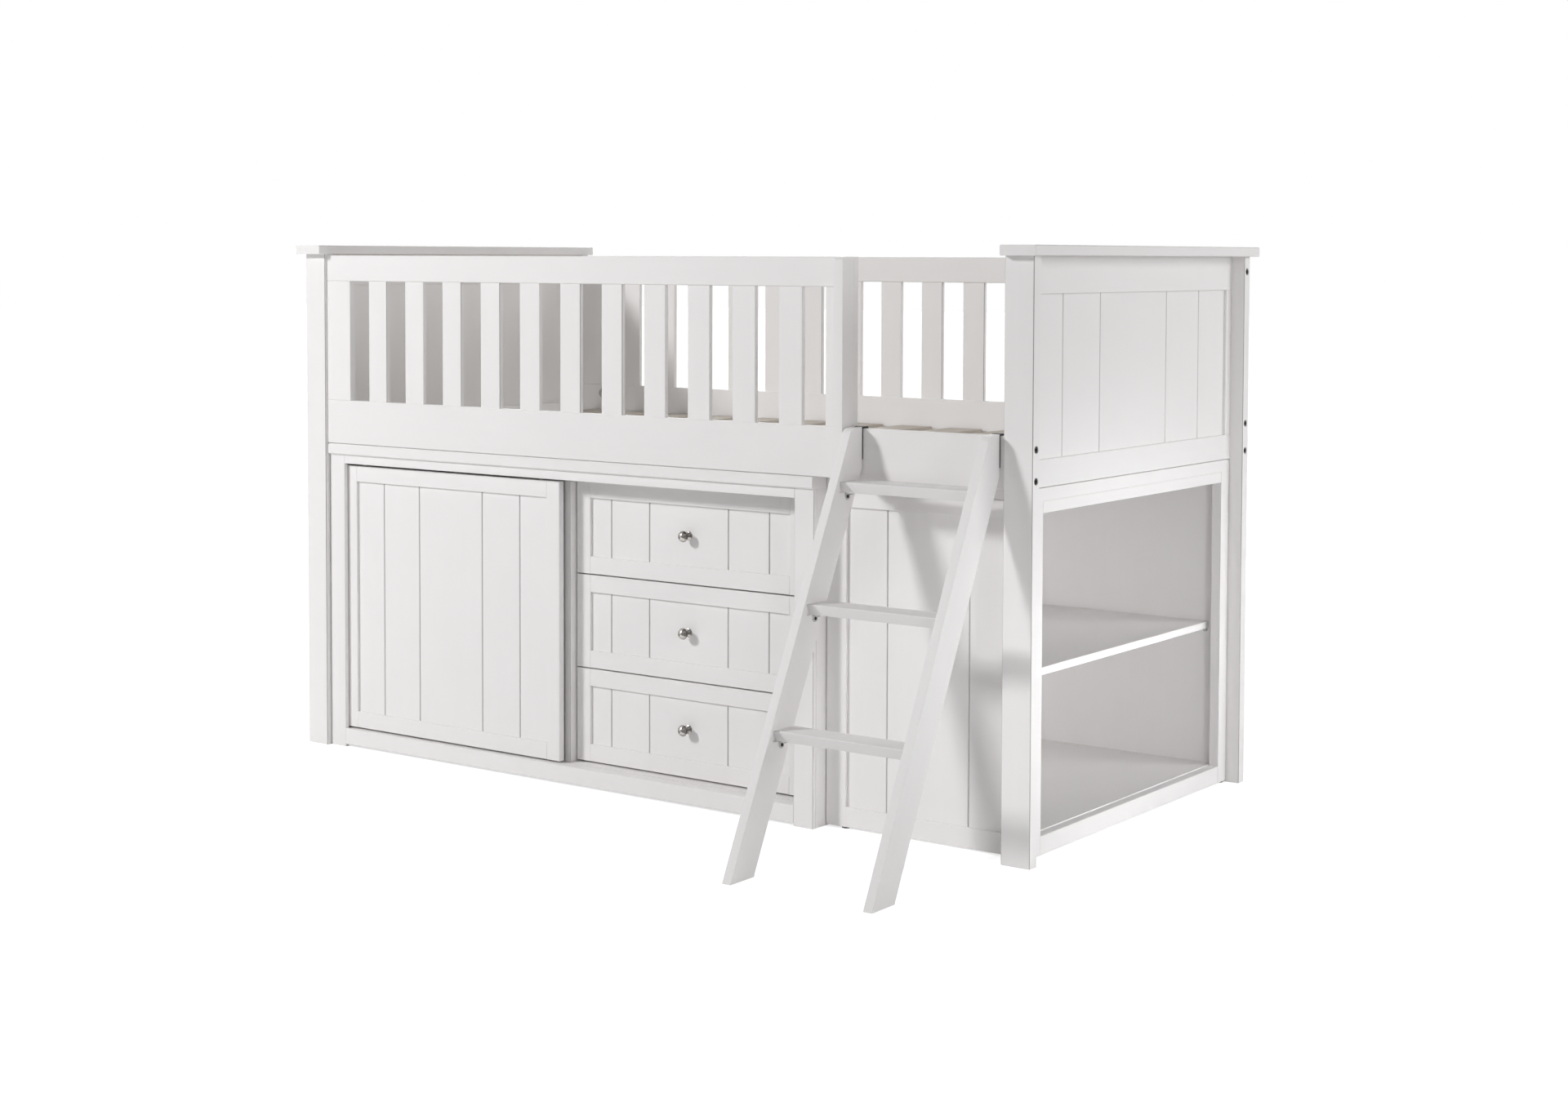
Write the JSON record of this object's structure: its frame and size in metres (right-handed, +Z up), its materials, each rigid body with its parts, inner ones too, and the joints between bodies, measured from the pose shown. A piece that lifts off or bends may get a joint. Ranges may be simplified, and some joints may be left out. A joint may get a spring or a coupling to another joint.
{
  "type": "cabin bed",
  "caption": "Mid-height single bed frame on posts with slatted guards, hook-on ladder, cabinet with sliding door and drawers, and an end bookcase.",
  "frame": {"origin": "middle of the underside of the whole bed with its ladder, on the floor", "axes": "+X along the bed towards the bookcase end, +Y from the ladder side to the back, +Z up"},
  "size_m": [2.038, 1.414, 1.204],
  "materials": {
    "white_paint": "satin white paint on wood",
    "pine": "bare planed pine",
    "brushed_nickel": "brushed nickel",
    "dark_steel": "dark plated steel",
    "grey_steel": "zinc plated steel",
    "nylon": "moulded nylon",
    "dark_plastic": "moulded plastic"
  },
  "bodies": {
    "bed": {"left_front_post": "white_paint", "left_back_post": "white_paint", "right_front_post": "white_paint", "right_back_post": "white_paint", "left_cap": "white_paint", "right_cap": "white_paint", "left_end_frame": "white_paint", "left_end_boards": "white_paint", "right_end_frame": "white_paint", "right_end_boards": "white_paint", "front_side_rail": "white_paint", "back_side_rail": "white_paint", "guard_top_rail": "white_paint", "guard_stiles": "white_paint", "guard_slats": "white_paint", "guard_end_plank": "white_paint", "back_guard_top_rail": "white_paint", "back_guard_slats": "white_paint", "ledgers": "white_paint", "base_slats": "pine", "rail_bolts": "dark_steel", "rail_nuts": "dark_steel", "cabinet_top": "white_paint", "cabinet_left_side": "white_paint", "cabinet_right_side": "white_paint", "cabinet_divider": "white_paint", "cabinet_bay_liner": "white_paint", "cabinet_floor": "white_paint", "cabinet_back": "white_paint", "cabinet_face_frame": "white_paint", "cabinet_shelf": "white_paint", "shelf_pins": "grey_steel", "drawer_runners": "pine", "bookcase_top": "white_paint", "bookcase_front_side": "white_paint", "bookcase_back_side": "white_paint", "bookcase_floor": "white_paint", "bookcase_back": "white_paint", "bookcase_shelf": "white_paint", "bookcase_face_frame": "white_paint", "bookcase_glides": "dark_plastic"},
    "door": {"door_frame": "white_paint", "door_boards": "white_paint", "door_guides": "nylon"},
    "drawer_bottom": {"drawer_bottom_front": "white_paint", "drawer_bottom_box": "pine", "drawer_bottom_knob": "brushed_nickel"},
    "drawer_middle": {"drawer_middle_front": "white_paint", "drawer_middle_box": "pine", "drawer_middle_knob": "brushed_nickel"},
    "drawer_top": {"drawer_top_front": "white_paint", "drawer_top_box": "pine", "drawer_top_knob": "brushed_nickel"},
    "ladder": {"ladder_left_stile": "white_paint", "ladder_right_stile": "white_paint", "ladder_low_tread": "white_paint", "ladder_middle_tread": "white_paint", "ladder_top_tread": "white_paint", "ladder_hooks": "dark_steel", "ladder_brackets": "grey_steel"}
  },
  "joints": [
    {"name": "door_slide", "type": "slide", "parent": "bed", "child": "door", "axis": [-1, 0, 0], "range_m": [-0.66, 0]},
    {"name": "drawer_bottom_slide", "type": "slide", "parent": "bed", "child": "drawer_bottom", "axis": [0, -1, 0], "range_m": [0, 0.33]},
    {"name": "drawer_middle_slide", "type": "slide", "parent": "bed", "child": "drawer_middle", "axis": [0, -1, 0], "range_m": [0, 0.33]},
    {"name": "drawer_top_slide", "type": "slide", "parent": "bed", "child": "drawer_top", "axis": [0, -1, 0], "range_m": [0, 0.33]},
    {"name": "ladder_lift", "type": "slide", "parent": "bed", "child": "ladder", "axis": [0, 0, 1], "range_m": [0, 0.03]}
  ]
}
